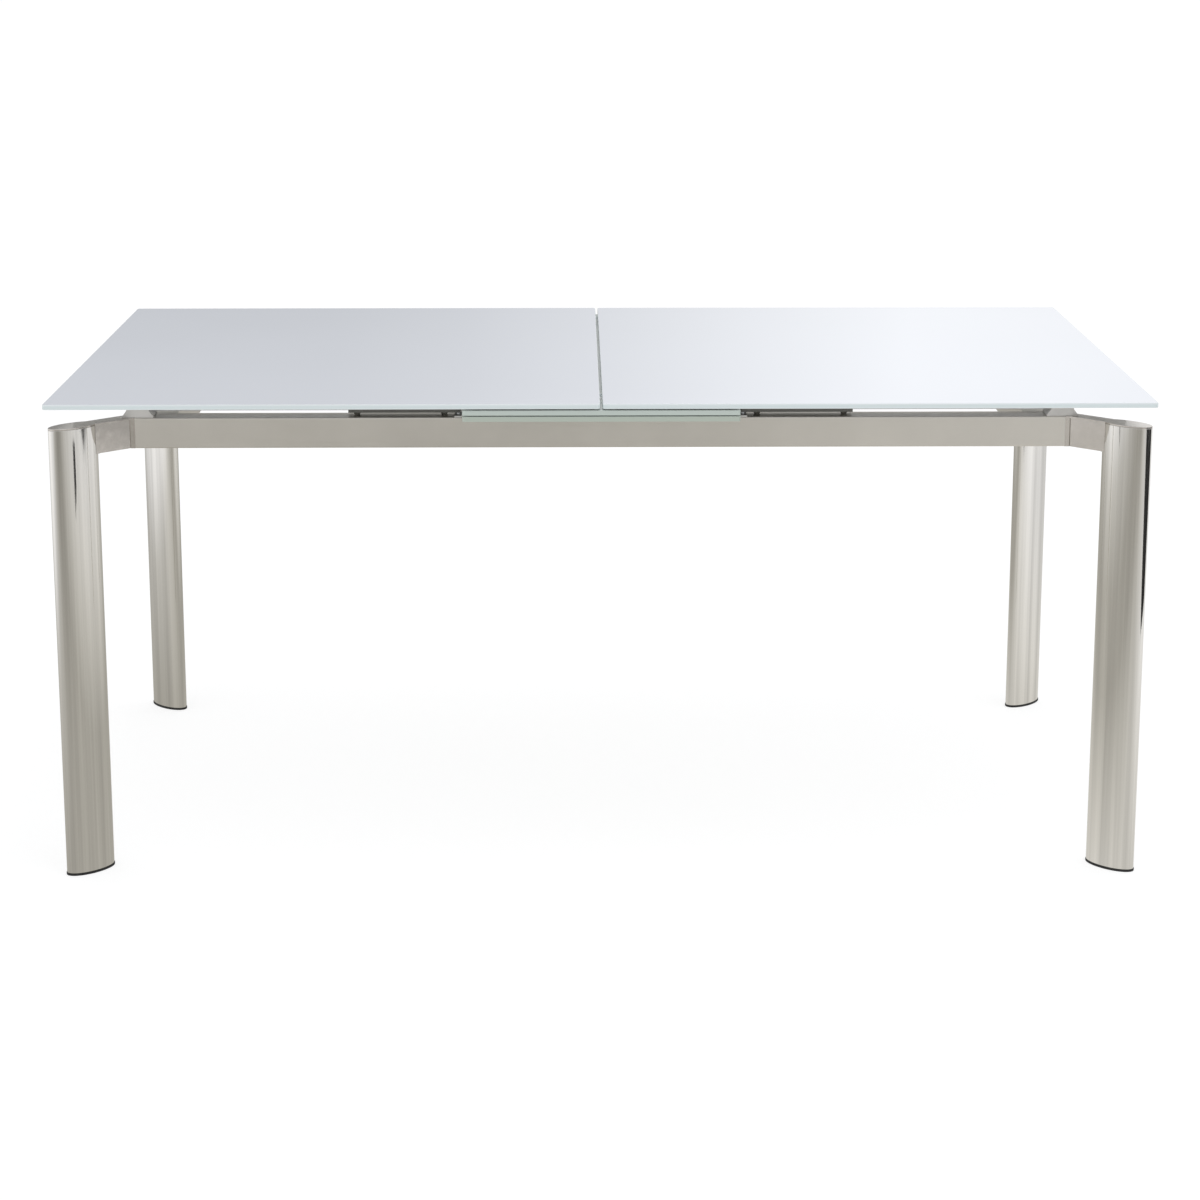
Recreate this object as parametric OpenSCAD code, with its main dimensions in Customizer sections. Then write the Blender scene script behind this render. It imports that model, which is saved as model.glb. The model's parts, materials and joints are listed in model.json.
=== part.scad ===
// Extendable dining table: two glass half tops on telescopic slides, two glass leaves stored
// in a rack under the split, a box-tube frame and four oval tube legs on diagonal arms.
// Origin on the floor at the table's centre; +X along the length, +Y to the back, +Z up.

/* [Top] */
// Length of the closed table
top_length = 1700; // [1500:10:2000]
// Width of the table
top_width = 900; // [860:10:1000]
// Height of the top surface
table_height = 758; // [720:1:780]
// Thickness of every glass pane
glass_thickness = 8; // [6:0.5:10]
// Radius of the panes' corners
corner_radius = 5; // [3:1:12]
// Gap between the two half tops
split_gap = 4; // [3:0.5:5]

/* [Leaves] */
// Drop from the half tops' underside to the upper leaf
leaf_drop = 2.5; // [2:0.5:3.5]
// Gap between the two stored leaves
leaf_spacing = 1.6; // [1.6:0.1:2.2]
// Setback of a stored leaf from the front edge
leaf_setback = 2; // [1:1:6]
// Reach of a rack guide's lips under a leaf's edge
lip_depth = 10; // [8:1:14]

/* [Frame] */
// Gap between the frame's top and the glass
frame_drop = 30; // [30:0.5:34]
// Height of the frame's box tubes
rail_height = 48; // [44:1:56]
// Depth of the frame's box tubes
rail_depth = 41; // [38:1:46]
// Wall of the frame's box tubes
rail_wall = 2.5; // [2:0.5:3]
// Setback of the side rails from the top's edge
rail_setback = 84; // [80:1:90]
// Setback of the side rails' ends from the top's ends
rail_end_setback = 126; // [125:1:132]
// Setback of the end rails' outer faces from the top's ends
end_rail_setback = 147; // [138:1:150]

/* [Legs] */
// Long diameter of the oval leg tube
leg_long = 82.8; // [76:0.2:86]
// Short diameter of the oval leg tube
leg_short = 40; // [38:0.5:44]
// Wall of the leg tube
leg_wall = 2; // [1.5:0.5:2.5]
// Setback of the legs' centres from the top's ends
leg_setback_x = 39.5; // [38:0.5:42]
// Setback of the legs' centres from the top's long edges
leg_setback_y = 32; // [32:0.5:34]
// Angle of the legs' long axis to the table's length
leg_angle = 41; // [40:0.5:42]
// Thickness of the diagonal arms
arm_width = 26; // [24:1:28]
// Height of the foot pads below the tube
foot_height = 4; // [3:0.5:6]

/* [Slides] */
// Thickness of the slides' nylon strips
glide_thickness = 1.7; // [1.6:0.1:1.8]
// Length of the slide blocks on the side rails
block_length = 175; // [160:1:185]

/* [Hidden] */
$fn = 48;

// The four corners as signs of X and Y
CORNERS = [[-1, -1], [1, -1], [-1, 1], [1, 1]];

// Colours
glass_white = [0.90, 0.92, 0.94];
leaf_green = [0.74, 0.80, 0.76];
satin_nickel = [0.68, 0.66, 0.62];
polished = [0.80, 0.79, 0.76];
cast_grey = [0.78, 0.77, 0.74];
pad_grey = [0.62, 0.62, 0.60];
dark = [0.20, 0.20, 0.19];
rubber_black = [0.06, 0.06, 0.06];
zinc = [0.70, 0.71, 0.73];
nylon_white = [0.90, 0.90, 0.88];
clear = [0.85, 0.90, 0.92];

// Clearances: parts that move past each other, and parts fitted into each other
slip = 0.3;
fit = 0.1;
over = 1;

// Levels
glass_bottom = table_height - glass_thickness;
frame_top = glass_bottom - frame_drop;
frame_bottom = frame_top - rail_height;
rest_top = glass_bottom - slip;

// Plan
half_length = top_length / 2;
half_width = top_width / 2;
rail_outer = half_width - rail_setback;
rail_inner = rail_outer - rail_depth;
rail_mid = (rail_outer + rail_inner) / 2;
rail_end = half_length - rail_end_setback;
end_rail_outer = half_length - end_rail_setback;
end_rail_inner = end_rail_outer - rail_depth;
tube_radius = 2;

// Legs and arms, in the frame of one leg with -X towards the table's centre
leg_x = half_length - leg_setback_x;
leg_y = half_width - leg_setback_y;
leg_a = leg_long / 2;
leg_b = leg_short / 2;
cap_plate = 3;
leg_top = frame_top - cap_plate;
cap_plug = 2.5;
cap_gap = 0.6;
foot_plug = 15;
foot_proud = 0.8;
arm_end_wall = 8.6;
arm_side_wall = 5;
arm_top_wall = 6;
arm_cavity_end = 92;
arm_recess = 1.5;
arm_recess_lip = 3;
arm_recess_start = 38;
bolt_shank = 4;
bolt_head = 6.5;
bolt_head_height = 5;
bolt_levels = [frame_bottom + 14, frame_bottom + 32];
saddle_depth = 15;
saddle_width = 22;
spigot_length = 44;
arm_screw_inset = [14, 30];
screw_m6 = 3;

// Corner glides and slide blocks
glide_inset = [20, 29];
glide_slope = [7, 9];
glide_base = 2;
glide_setback = 2;
glide_inner = rail_inner + 2;
glide_screw_inset = [14, -7];
screw_m5 = 2.5;
block_gap = 5;
block_inner_end = top_length / 8 + 6;
block_outer_face = rail_inner + 27;
block_top = rest_top;
block_screw_inset = 26;
spacer_radius = [4.2, 6.5];

// Leaf rack
leaf_half = top_length / 8;
upper_leaf_top = glass_bottom - leaf_drop;
upper_leaf_bottom = upper_leaf_top - glass_thickness;
lower_leaf_top = upper_leaf_bottom - leaf_spacing;
lower_leaf_bottom = lower_leaf_top - glass_thickness;
leaf_front = -half_width + leaf_setback;
leaf_back = half_width - 8;
guide_web = 2.5;
guide_inner = leaf_half + 0.5;
guide_outer = guide_inner + guide_web;
guide_flange = 12;
guide_flange_thickness = 2.5;
guide_lip = 2;
stop_thickness = 2;

// Telescopic slide sections, measured from the slide's mounting face towards the centre
slide_face = glide_inner;
slide_start = block_inner_end + 3;
slide_end = rail_end + 18;
slide_sheet = 1.5;
outer_depth = 10.5;
outer_bottom = frame_top + 4;
outer_top = outer_bottom + 24;
middle_offset = 3.1;
middle_depth = 8.4;
middle_inset = slide_sheet + 2;
middle_sheet = 1.4;
inner_inset = middle_inset + middle_sheet + 2.1;
inner_offset = 6.5;
inner_depth = 6.5;
carrier_sheet = 2;
carrier_flange = 24;
carrier_end = half_length - 20;
bond_thickness = 0.8;
carrier_face = slide_face - inner_offset - inner_depth;
slide_screw_level = (outer_bottom + outer_top) / 2;
slide_screw_inset = [40, 130];
screw_m4 = 2;

// ---------------------------------------------------------------- helpers

// Mirrors a corner drawn at +X +Y to the corner with the given signs
module at_corner(sx, sy) {
  mirror([sx < 0 ? 1 : 0, 0, 0]) mirror([0, sy < 0 ? 1 : 0, 0]) children();
}

// The same for all four corners
module each_corner() {
  for (corner = CORNERS) at_corner(corner[0], corner[1]) children();
}

// Extrudes a section drawn as (Y, Z) along X
module along_x(from, to) {
  translate([from, 0, 0]) rotate([90, 0, 90]) linear_extrude(to - from) children();
}

// Extrudes a section drawn as (X, Z) along Y
module along_y(from, to) {
  translate([0, to, 0]) rotate([90, 0, 0]) linear_extrude(to - from) children();
}

// Extrudes a plan drawn as (X, Y) from one level to another
module upright(from, to) {
  translate([0, 0, from]) linear_extrude(to - from) children();
}

// Rectangle with round corners between two corner points
module rounded_plan(low, high, r) {
  difference() {
    translate(low) square(high - low);
    for (x = [low[0], high[0]], y = [low[1], high[1]])
      translate([x, y]) square(2 * r, center = true);
  }
  for (x = [low[0] + r, high[0] - r], y = [low[1] + r, high[1] - r])
    translate([x, y]) circle(r);
}

// Section of a box tube
module box_section(low, high, wall) {
  difference() {
    rounded_plan(low, high, tube_radius);
    translate(low + [wall, wall]) square(high - low - 2 * [wall, wall]);
  }
}

// Oval with the given half diameters
module oval(a, b) {
  scale([a, b]) circle(1);
}

// Puts a leg's own frame at the +X +Y leg
module leg_frame() {
  translate([leg_x, leg_y, 0]) rotate([0, 0, leg_angle]) children();
}

// Screw along +Z from its head's top at the origin, pointing down
module screw(shank, length, head, head_height, key) {
  difference() {
    union() {
      translate([0, 0, -head_height]) cylinder(h = head_height, r = head);
      translate([0, 0, -head_height - length]) cylinder(h = length + over / 2, r = shank);
    }
    translate([0, 0, -head_height / 2]) cylinder(h = head_height, r = key, $fn = 6);
  }
}

// ---------------------------------------------------------------- frame

module rail_top_holes() {
  translate([rail_end - glide_screw_inset[0], rail_mid, 0])
    cylinder(h = table_height, r = screw_m5 + fit);
  for (x = block_screw_x())
    translate([x, block_mid(), 0]) cylinder(h = table_height, r = screw_m5 + fit);
  translate([guide_outer + guide_flange / 2, rail_mid, 0])
    cylinder(h = table_height, r = screw_m5 + fit);
}

// Side rail at +Y
module side_rail() {
  difference() {
    along_x(-rail_end, rail_end)
      box_section([rail_inner, frame_bottom], [rail_outer, frame_top], rail_wall);
    for (sx = [-1, 1]) at_corner(sx, 1) {
      intersection() {
        rail_top_holes();
        translate([0, 0, frame_top - 2 * rail_wall]) cube([top_length, top_width, 4 * rail_wall]);
      }
      for (inset = arm_screw_inset)
        translate([rail_end - inset, rail_mid, frame_bottom - over])
          cylinder(h = rail_wall + 2 * over, r = screw_m6 + fit);
    }
  }
}

module side_rail_front() { color(satin_nickel) at_corner(1, -1) side_rail(); }
module side_rail_back() { color(satin_nickel) side_rail(); }

// End rail at +X, welded between the side rails
module end_rail() {
  along_y(-rail_inner, rail_inner)
    box_section([end_rail_inner, frame_bottom], [end_rail_outer, frame_top], rail_wall);
}

module end_rail_left() { color(satin_nickel) at_corner(-1, 1) end_rail(); }
module end_rail_right() { color(satin_nickel) end_rail(); }

// ---------------------------------------------------------------- corner arms

// Point of the arm's plan: along the arm from the leg's centre, and to its outer side
function arm_point(along, side) = [
  leg_x - along * cos(leg_angle) - side * sin(leg_angle),
  leg_y - along * sin(leg_angle) + side * cos(leg_angle)
];
// Distance along the arm at which a side line crosses a given X or Y
function along_at_y(y, side) = (leg_y + side * cos(leg_angle) - y) / sin(leg_angle);
function along_at_x(x, side) = (leg_x - side * sin(leg_angle) - x) / cos(leg_angle);

arm_half = arm_width / 2;
arm_face_turn = arm_point(along_at_y(rail_outer, arm_half), arm_half);
arm_inner_turn = arm_point(along_at_x(rail_end, -arm_half), -arm_half);
arm_plan = [
  [rail_end, rail_outer],
  arm_face_turn,
  arm_point(0, arm_half),
  arm_point(0, -arm_half),
  [rail_end, max(arm_inner_turn[1], rail_inner)]
];
arm_recess_ends = [along_at_y(rail_outer, arm_half), along_at_x(rail_end, -arm_half) - 6];

// Cast arm from the end of a side rail to the leg, hollow from below, its sides recessed
// between the collars at its two ends and the lip of its top
module corner_arm() {
  spigot_low = [rail_inner + rail_wall + fit, frame_bottom + rail_wall + fit];
  spigot_high = [rail_outer - rail_wall - fit, frame_top - rail_wall - fit];
  difference() {
    union() {
      upright(frame_bottom, frame_top) polygon(arm_plan);
      along_x(rail_end - spigot_length, rail_end + over)
        translate(spigot_low) square(spigot_high - spigot_low);
    }
    leg_frame() {
      upright(frame_bottom - over, frame_top + over) oval(leg_a + fit, leg_b + fit);
      translate([-arm_cavity_end, arm_side_wall - arm_half, frame_bottom - over])
        cube([
          arm_cavity_end - leg_a - arm_end_wall,
          arm_width - 2 * arm_side_wall,
          rail_height - arm_top_wall + over
        ]);
      for (side = [0, 1]) mirror([0, side, 0])
        translate([-arm_recess_ends[side], arm_half - arm_recess, frame_bottom - over])
          cube([
            arm_recess_ends[side] - arm_recess_start,
            arm_recess + over,
            rail_height - arm_recess_lip + over
          ]);
      for (level = bolt_levels)
        translate([-arm_cavity_end, 0, level]) rotate([0, 90, 0])
          cylinder(h = arm_cavity_end, r = bolt_shank + 0.3);
    }
    for (inset = arm_screw_inset)
      translate([rail_end - inset, rail_mid, frame_bottom])
        cylinder(h = 22, r = screw_m6 + fit / 2);
    for (inset = glide_screw_inset)
      translate([rail_end - inset, rail_mid, frame_top - 16])
        cylinder(h = 20, r = screw_m5 + fit / 2);
  }
}

module corner_arm_front_left() { color(cast_grey) at_corner(-1, -1) corner_arm(); }
module corner_arm_front_right() { color(cast_grey) at_corner(1, -1) corner_arm(); }
module corner_arm_back_left() { color(cast_grey) at_corner(-1, 1) corner_arm(); }
module corner_arm_back_right() { color(cast_grey) corner_arm(); }

// Low-head screws up through the rails into the arms' spigots
module arm_screws() {
  color(zinc) each_corner()
    for (inset = arm_screw_inset)
      translate([rail_end - inset, rail_mid, frame_bottom - 2.5]) rotate([180, 0, 0])
        screw(screw_m6, 16, 5.5, 2.5, 2);
}

// ---------------------------------------------------------------- legs

// Oval leg tube, drilled for its two bolts on the side of the arm
module leg() {
  leg_frame() difference() {
    upright(foot_height, leg_top) difference() {
      oval(leg_a, leg_b);
      oval(leg_a - leg_wall, leg_b - leg_wall);
    }
    for (level = bolt_levels)
      translate([-leg_a - over, 0, level]) rotate([0, 90, 0])
        cylinder(h = leg_a / 2, r = bolt_shank + 0.3);
  }
}

module leg_front_left() { color(polished) at_corner(-1, -1) leg(); }
module leg_front_right() { color(polished) at_corner(1, -1) leg(); }
module leg_back_left() { color(polished) at_corner(-1, 1) leg(); }
module leg_back_right() { color(polished) leg(); }

// Flat oval cap with a shadow gap under its rim and a shallow plug
module leg_cap() {
  leg_frame() {
    upright(leg_top + cap_gap, frame_top) oval(leg_a, leg_b);
    upright(leg_top, frame_top - over) oval(leg_a - leg_wall / 2, leg_b - leg_wall / 2);
    upright(leg_top - cap_plug, leg_top + over)
      oval(leg_a - leg_wall - fit, leg_b - leg_wall - fit);
  }
}

module leg_cap_front_left() { color(cast_grey) at_corner(-1, -1) leg_cap(); }
module leg_cap_front_right() { color(cast_grey) at_corner(1, -1) leg_cap(); }
module leg_cap_back_left() { color(cast_grey) at_corner(-1, 1) leg_cap(); }
module leg_cap_back_right() { color(cast_grey) leg_cap(); }

// Foot pad, a little proud of the tube, cut flat underneath, with its plug
module foot() {
  leg_frame() difference() {
    union() {
      upright(-over, foot_height) oval(leg_a + foot_proud, leg_b + foot_proud);
      upright(0, foot_height + foot_plug)
        oval(leg_a - leg_wall - fit, leg_b - leg_wall - fit);
    }
    translate([-leg_long, -leg_long, -2 * over]) cube([2 * leg_long, 2 * leg_long, 2 * over]);
  }
}

module foot_front_left() { color(rubber_black) at_corner(-1, -1) foot(); }
module foot_front_right() { color(rubber_black) at_corner(1, -1) foot(); }
module foot_back_left() { color(rubber_black) at_corner(-1, 1) foot(); }
module foot_back_right() { color(rubber_black) foot(); }

// Tapped blocks inside the tubes, shaped to their inner wall
module leg_saddles() {
  color(zinc) each_corner() leg_frame() difference() {
    intersection() {
      upright(bolt_levels[0] - 9, bolt_levels[1] + 8)
        oval(leg_a - leg_wall - fit, leg_b - leg_wall - fit);
      translate([-leg_a, -saddle_width / 2, 0])
        cube([saddle_depth + leg_wall, saddle_width, table_height]);
    }
    for (level = bolt_levels)
      translate([-leg_a - over, 0, level]) rotate([0, 90, 0])
        cylinder(h = leg_a, r = bolt_shank + fit / 2);
  }
}

// Bolts from inside the hollow arms through the tubes into the saddles
module leg_bolts() {
  color(zinc) each_corner() leg_frame()
    for (level = bolt_levels)
      translate([-leg_a - arm_end_wall - bolt_head_height, 0, level]) rotate([0, -90, 0])
        screw(bolt_shank, 22, bolt_head, bolt_head_height, 3);
}

// ---------------------------------------------------------------- glides and slide blocks

// Corner glide with sloping shoulders, on the end of the rail and the arm
module corner_glide() {
  low = rail_end - glide_inset[1];
  high = rail_end + glide_inset[0];
  difference() {
    along_y(glide_inner, rail_outer - glide_setback) polygon([
      [low, frame_top],
      [high, frame_top],
      [high, frame_top + glide_base],
      [high - glide_slope[0], frame_top + glide_base + glide_slope[1]],
      [high - glide_slope[0], rest_top],
      [low + glide_slope[0], rest_top],
      [low + glide_slope[0], frame_top + glide_base + glide_slope[1]],
      [low, frame_top + glide_base]
    ]);
    for (inset = glide_screw_inset) translate([rail_end - inset, rail_mid, 0]) {
      cylinder(h = table_height, r = screw_m5 + fit);
      translate([0, 0, frame_top + 14]) cylinder(h = frame_drop, r = 4.9);
    }
    translate([rail_end - 5, glide_inner - over, slide_screw_level]) rotate([-90, 0, 0])
      cylinder(h = 8, r = screw_m4 + fit / 2);
  }
}

module corner_glide_front_left() { color(pad_grey) at_corner(-1, -1) corner_glide(); }
module corner_glide_front_right() { color(pad_grey) at_corner(1, -1) corner_glide(); }
module corner_glide_back_left() { color(pad_grey) at_corner(-1, 1) corner_glide(); }
module corner_glide_back_right() { color(pad_grey) corner_glide(); }

module glide_screws() {
  color(zinc) each_corner()
    for (inset = glide_screw_inset)
      translate([rail_end - inset, rail_mid, frame_top + 18]) screw(screw_m5, 28, 4.6, 4, 2);
}

function block_mid() = (slide_face + block_outer_face) / 2;
function block_screw_x() = [
  block_inner_end + block_screw_inset,
  block_inner_end + block_length - block_screw_inset / 2
];

// Dark bar on two spacers: it carries the slide and the glass that passes over it
module slide_block() {
  difference() {
    translate([block_inner_end, slide_face, frame_top + block_gap])
      cube([block_length, block_outer_face - slide_face, block_top - frame_top - block_gap]);
    for (x = block_screw_x()) translate([x, block_mid(), 0]) {
      cylinder(h = table_height, r = screw_m5 + fit);
      translate([0, 0, frame_top + 16]) cylinder(h = frame_drop, r = 5.6);
    }
    for (inset = slide_screw_inset)
      translate([block_inner_end + inset, slide_face - over, slide_screw_level])
        rotate([-90, 0, 0]) cylinder(h = 8, r = screw_m4 + fit / 2);
  }
}

module slide_block_front_left() { color(dark) at_corner(-1, -1) slide_block(); }
module slide_block_front_right() { color(dark) at_corner(1, -1) slide_block(); }
module slide_block_back_left() { color(dark) at_corner(-1, 1) slide_block(); }
module slide_block_back_right() { color(dark) slide_block(); }

module block_spacers() {
  color(dark) each_corner()
    for (x = block_screw_x()) translate([x, block_mid(), frame_top]) difference() {
      cylinder(h = block_gap, r1 = spacer_radius[0], r2 = spacer_radius[1]);
      translate([0, 0, -over]) cylinder(h = block_gap + 2 * over, r = screw_m5 + fit);
    }
}

module block_screws() {
  color(zinc) each_corner()
    for (x = block_screw_x())
      translate([x, block_mid(), frame_top + 20]) screw(screw_m5, 26, 4.6, 4, 2);
}

// ---------------------------------------------------------------- telescopic slides

// Channel section open on one side, from depth_from to depth_to behind the mounting face
module channel(depth_from, depth_to, bottom, top, sheet, web_at_centre) {
  low = slide_face - depth_to;
  web = web_at_centre ? low : slide_face - depth_from - sheet;
  for (level = [bottom, top - sheet])
    translate([low, level]) square([depth_to - depth_from, sheet]);
  translate([web, bottom]) square([sheet, top - bottom]);
}

module outer_slide() {
  difference() {
    along_x(slide_start, slide_end)
      channel(0, outer_depth, outer_bottom, outer_top, slide_sheet, false);
    slide_screw_holes(slide_face - 3);
  }
}

function slide_screw_x() = [
  block_inner_end + slide_screw_inset[0],
  block_inner_end + slide_screw_inset[1],
  rail_end - 5
];

module slide_screw_holes(from) {
  for (x = slide_screw_x())
    translate([x, from, slide_screw_level]) rotate([-90, 0, 0])
      cylinder(h = 5, r = screw_m4 + fit);
}

module left_outer_slides() { color(zinc) for (sy = [-1, 1]) at_corner(-1, sy) outer_slide(); }
module right_outer_slides() { color(zinc) for (sy = [-1, 1]) at_corner(1, sy) outer_slide(); }

// Flat-head screws through the outer slides into the blocks and glides
module slide_screws() {
  color(zinc) each_corner()
    for (x = slide_screw_x())
      translate([x, slide_face - slide_sheet - 0.9, slide_screw_level]) rotate([90, 0, 0])
        screw(screw_m4, 8, 3.6, 0.9, 1.2);
}

module middle_slide() {
  along_x(slide_start + over, slide_end - over)
    channel(
      middle_offset, middle_offset + middle_depth,
      outer_bottom + middle_inset, outer_top - middle_inset, middle_sheet, false
    );
}

module left_middle_slides() { color(zinc) for (sy = [-1, 1]) at_corner(-1, sy) middle_slide(); }
module right_middle_slides() { color(zinc) for (sy = [-1, 1]) at_corner(1, sy) middle_slide(); }

// Nylon strips clipped to both sides of the middle slide's flanges
module slide_strip_set() {
  outer_side = outer_bottom + middle_inset - glide_thickness;
  inner_side = outer_bottom + middle_inset + middle_sheet;
  mirror_level = outer_bottom + outer_top;
  strip_low = slide_face - middle_offset - middle_depth + 2;
  along_x(slide_start + 4, slide_end - 4)
    for (level = [outer_side, mirror_level - outer_side - glide_thickness])
      translate([strip_low, level]) square([4.5, glide_thickness]);
  along_x(slide_start + 4, slide_end - 4)
    for (level = [inner_side, mirror_level - inner_side - glide_thickness])
      translate([strip_low, level]) square([3, glide_thickness]);
}

module left_slide_strips() {
  color(nylon_white) for (sy = [-1, 1]) at_corner(-1, sy) slide_strip_set();
}
module right_slide_strips() {
  color(nylon_white) for (sy = [-1, 1]) at_corner(1, sy) slide_strip_set();
}

function carrier_screw_x() = [slide_start + 30, (slide_start + slide_end) / 2, slide_end - 30];

module carrier_screw_holes(from, length) {
  for (x = carrier_screw_x())
    translate([x, from, slide_screw_level]) rotate([-90, 0, 0])
      cylinder(h = length, r = screw_m4 + fit);
}

module inner_slide() {
  difference() {
    along_x(slide_start + over, slide_end - over)
      channel(
        inner_offset, inner_offset + inner_depth,
        outer_bottom + inner_inset, outer_top - inner_inset, middle_sheet, true
      );
    carrier_screw_holes(carrier_face - over, 2 * over + middle_sheet);
  }
}

module left_inner_slides() { color(zinc) for (sy = [-1, 1]) at_corner(-1, sy) inner_slide(); }
module right_inner_slides() { color(zinc) for (sy = [-1, 1]) at_corner(1, sy) inner_slide(); }

// Angle that joins the inner slide to the glass above it
module carrier() {
  flange_top = glass_bottom - bond_thickness;
  difference() {
    along_x(slide_start, carrier_end) {
      translate([carrier_face - carrier_sheet, outer_bottom + 4])
        square([carrier_sheet, flange_top - outer_bottom - 4]);
      translate([carrier_face - carrier_flange, flange_top - carrier_sheet])
        square([carrier_flange, carrier_sheet]);
    }
    carrier_screw_holes(carrier_face - carrier_sheet - over, 2 * over + carrier_sheet);
  }
}

module left_carriers() { color(satin_nickel) for (sy = [-1, 1]) at_corner(-1, sy) carrier(); }
module right_carriers() { color(satin_nickel) for (sy = [-1, 1]) at_corner(1, sy) carrier(); }

module carrier_screw_set() {
  for (x = carrier_screw_x())
    translate([x, carrier_face - carrier_sheet - 2, slide_screw_level]) rotate([90, 0, 0])
      screw(screw_m4, 5, 3.6, 2, 1.2);
}

module left_carrier_screws() {
  color(zinc) for (sy = [-1, 1]) at_corner(-1, sy) carrier_screw_set();
}
module right_carrier_screws() {
  color(zinc) for (sy = [-1, 1]) at_corner(1, sy) carrier_screw_set();
}

// Adhesive strips between the carriers and the glass
module bond_strip() {
  upright(glass_bottom - bond_thickness, glass_bottom)
    translate([slide_start + 10, carrier_face - carrier_flange + 2])
      square([carrier_end - slide_start - 20, carrier_flange - 4]);
}

module left_bond_strips() { color(dark) for (sy = [-1, 1]) at_corner(-1, sy) bond_strip(); }
module right_bond_strips() { color(dark) for (sy = [-1, 1]) at_corner(1, sy) bond_strip(); }

// ---------------------------------------------------------------- glass

// Half top at +X
module half_top() {
  upright(glass_bottom, table_height)
    rounded_plan([split_gap / 2, -half_width], [half_length, half_width], corner_radius);
}

module left_glass() { color(glass_white) at_corner(-1, 1) half_top(); }
module right_glass() { color(glass_white) half_top(); }

// Clear dots on the left half's meeting edge
module meeting_buffers() {
  color(clear) for (sy = [-1, 1])
    translate([-split_gap / 2, sy * half_width * 0.8, glass_bottom + glass_thickness / 2])
      rotate([0, 90, 0]) cylinder(h = split_gap - 1, r = 2.5);
}

module leaf(bottom) {
  upright(bottom, bottom + glass_thickness)
    rounded_plan([-leaf_half, leaf_front], [leaf_half, leaf_back], corner_radius);
}

module leaf_upper() { color(leaf_green) leaf(upper_leaf_bottom); }
module leaf_lower() { color(leaf_green) leaf(lower_leaf_bottom); }

// Clear dots under the upper leaf that keep it off the lower one
module leaf_buffers() {
  color(clear) for (x = [-150, 150], y = [-380, 380])
    translate([x, y, upper_leaf_bottom - leaf_spacing * 0.75])
      cylinder(h = leaf_spacing * 0.75, r = 5);
}

// ---------------------------------------------------------------- leaf rack

// Guide at +X: a web with a lip under each leaf's edge and a flange on the rails
module leaf_guide() {
  lip_tops = [lower_leaf_bottom - slip, upper_leaf_bottom - slip];
  lip_heights = [guide_lip, leaf_spacing - 2 * slip];
  difference() {
    along_y(-rail_outer, rail_outer) {
      translate([guide_inner, frame_top]) square([guide_web, upper_leaf_top - 2 - frame_top]);
      translate([guide_inner, frame_top])
        square([guide_web + guide_flange, guide_flange_thickness]);
      for (i = [0, 1])
        translate([guide_inner - lip_depth, lip_tops[i] - lip_heights[i]])
          square([lip_depth + over / 2, lip_heights[i]]);
    }
    for (sy = [-1, 1])
      translate([guide_outer + guide_flange / 2, sy * rail_mid, frame_top - over])
        cylinder(h = 2 * over + guide_flange_thickness, r = screw_m5 + fit);
  }
}

module leaf_guide_left() { color(zinc) at_corner(-1, 1) leaf_guide(); }
module leaf_guide_right() { color(zinc) leaf_guide(); }

module guide_screws() {
  color(zinc) each_corner()
    translate([guide_outer + guide_flange / 2, rail_mid, frame_top + guide_flange_thickness + 2])
      screw(screw_m5, 10, 4.5, 2, 1.5);
}

// Stops behind the leaves' back edges, spot-welded to the guides
module leaf_stops() {
  low = lower_leaf_bottom + 1;
  high = upper_leaf_top - 3;
  reach = leaf_back + 3;
  color(zinc) for (sx = [-1, 1]) at_corner(sx, 1) {
    translate([guide_outer, rail_outer - 40, low])
      cube([stop_thickness, reach - rail_outer + 40 + stop_thickness, high - low]);
    translate([guide_inner - lip_depth, reach, low])
      cube([guide_outer - guide_inner + lip_depth + over / 2, stop_thickness, high - low]);
  }
}

// ---------------------------------------------------------------- nodes

side_rail_front();
side_rail_back();
end_rail_left();
end_rail_right();
corner_arm_front_left();
corner_arm_front_right();
corner_arm_back_left();
corner_arm_back_right();
leg_front_left();
leg_front_right();
leg_back_left();
leg_back_right();
leg_cap_front_left();
leg_cap_front_right();
leg_cap_back_left();
leg_cap_back_right();
foot_front_left();
foot_front_right();
foot_back_left();
foot_back_right();
leg_saddles();
leg_bolts();
arm_screws();
corner_glide_front_left();
corner_glide_front_right();
corner_glide_back_left();
corner_glide_back_right();
glide_screws();
slide_block_front_left();
slide_block_front_right();
slide_block_back_left();
slide_block_back_right();
block_spacers();
block_screws();
left_outer_slides();
right_outer_slides();
slide_screws();
leaf_guide_left();
leaf_guide_right();
guide_screws();
leaf_stops();
left_middle_slides();
right_middle_slides();
left_slide_strips();
right_slide_strips();
left_glass();
right_glass();
left_carriers();
right_carriers();
left_inner_slides();
right_inner_slides();
left_bond_strips();
right_bond_strips();
left_carrier_screws();
right_carrier_screws();
meeting_buffers();
leaf_upper();
leaf_lower();
leaf_buffers();
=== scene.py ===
import json
import math

import bmesh
import bpy
from mathutils import Matrix, Vector


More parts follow.
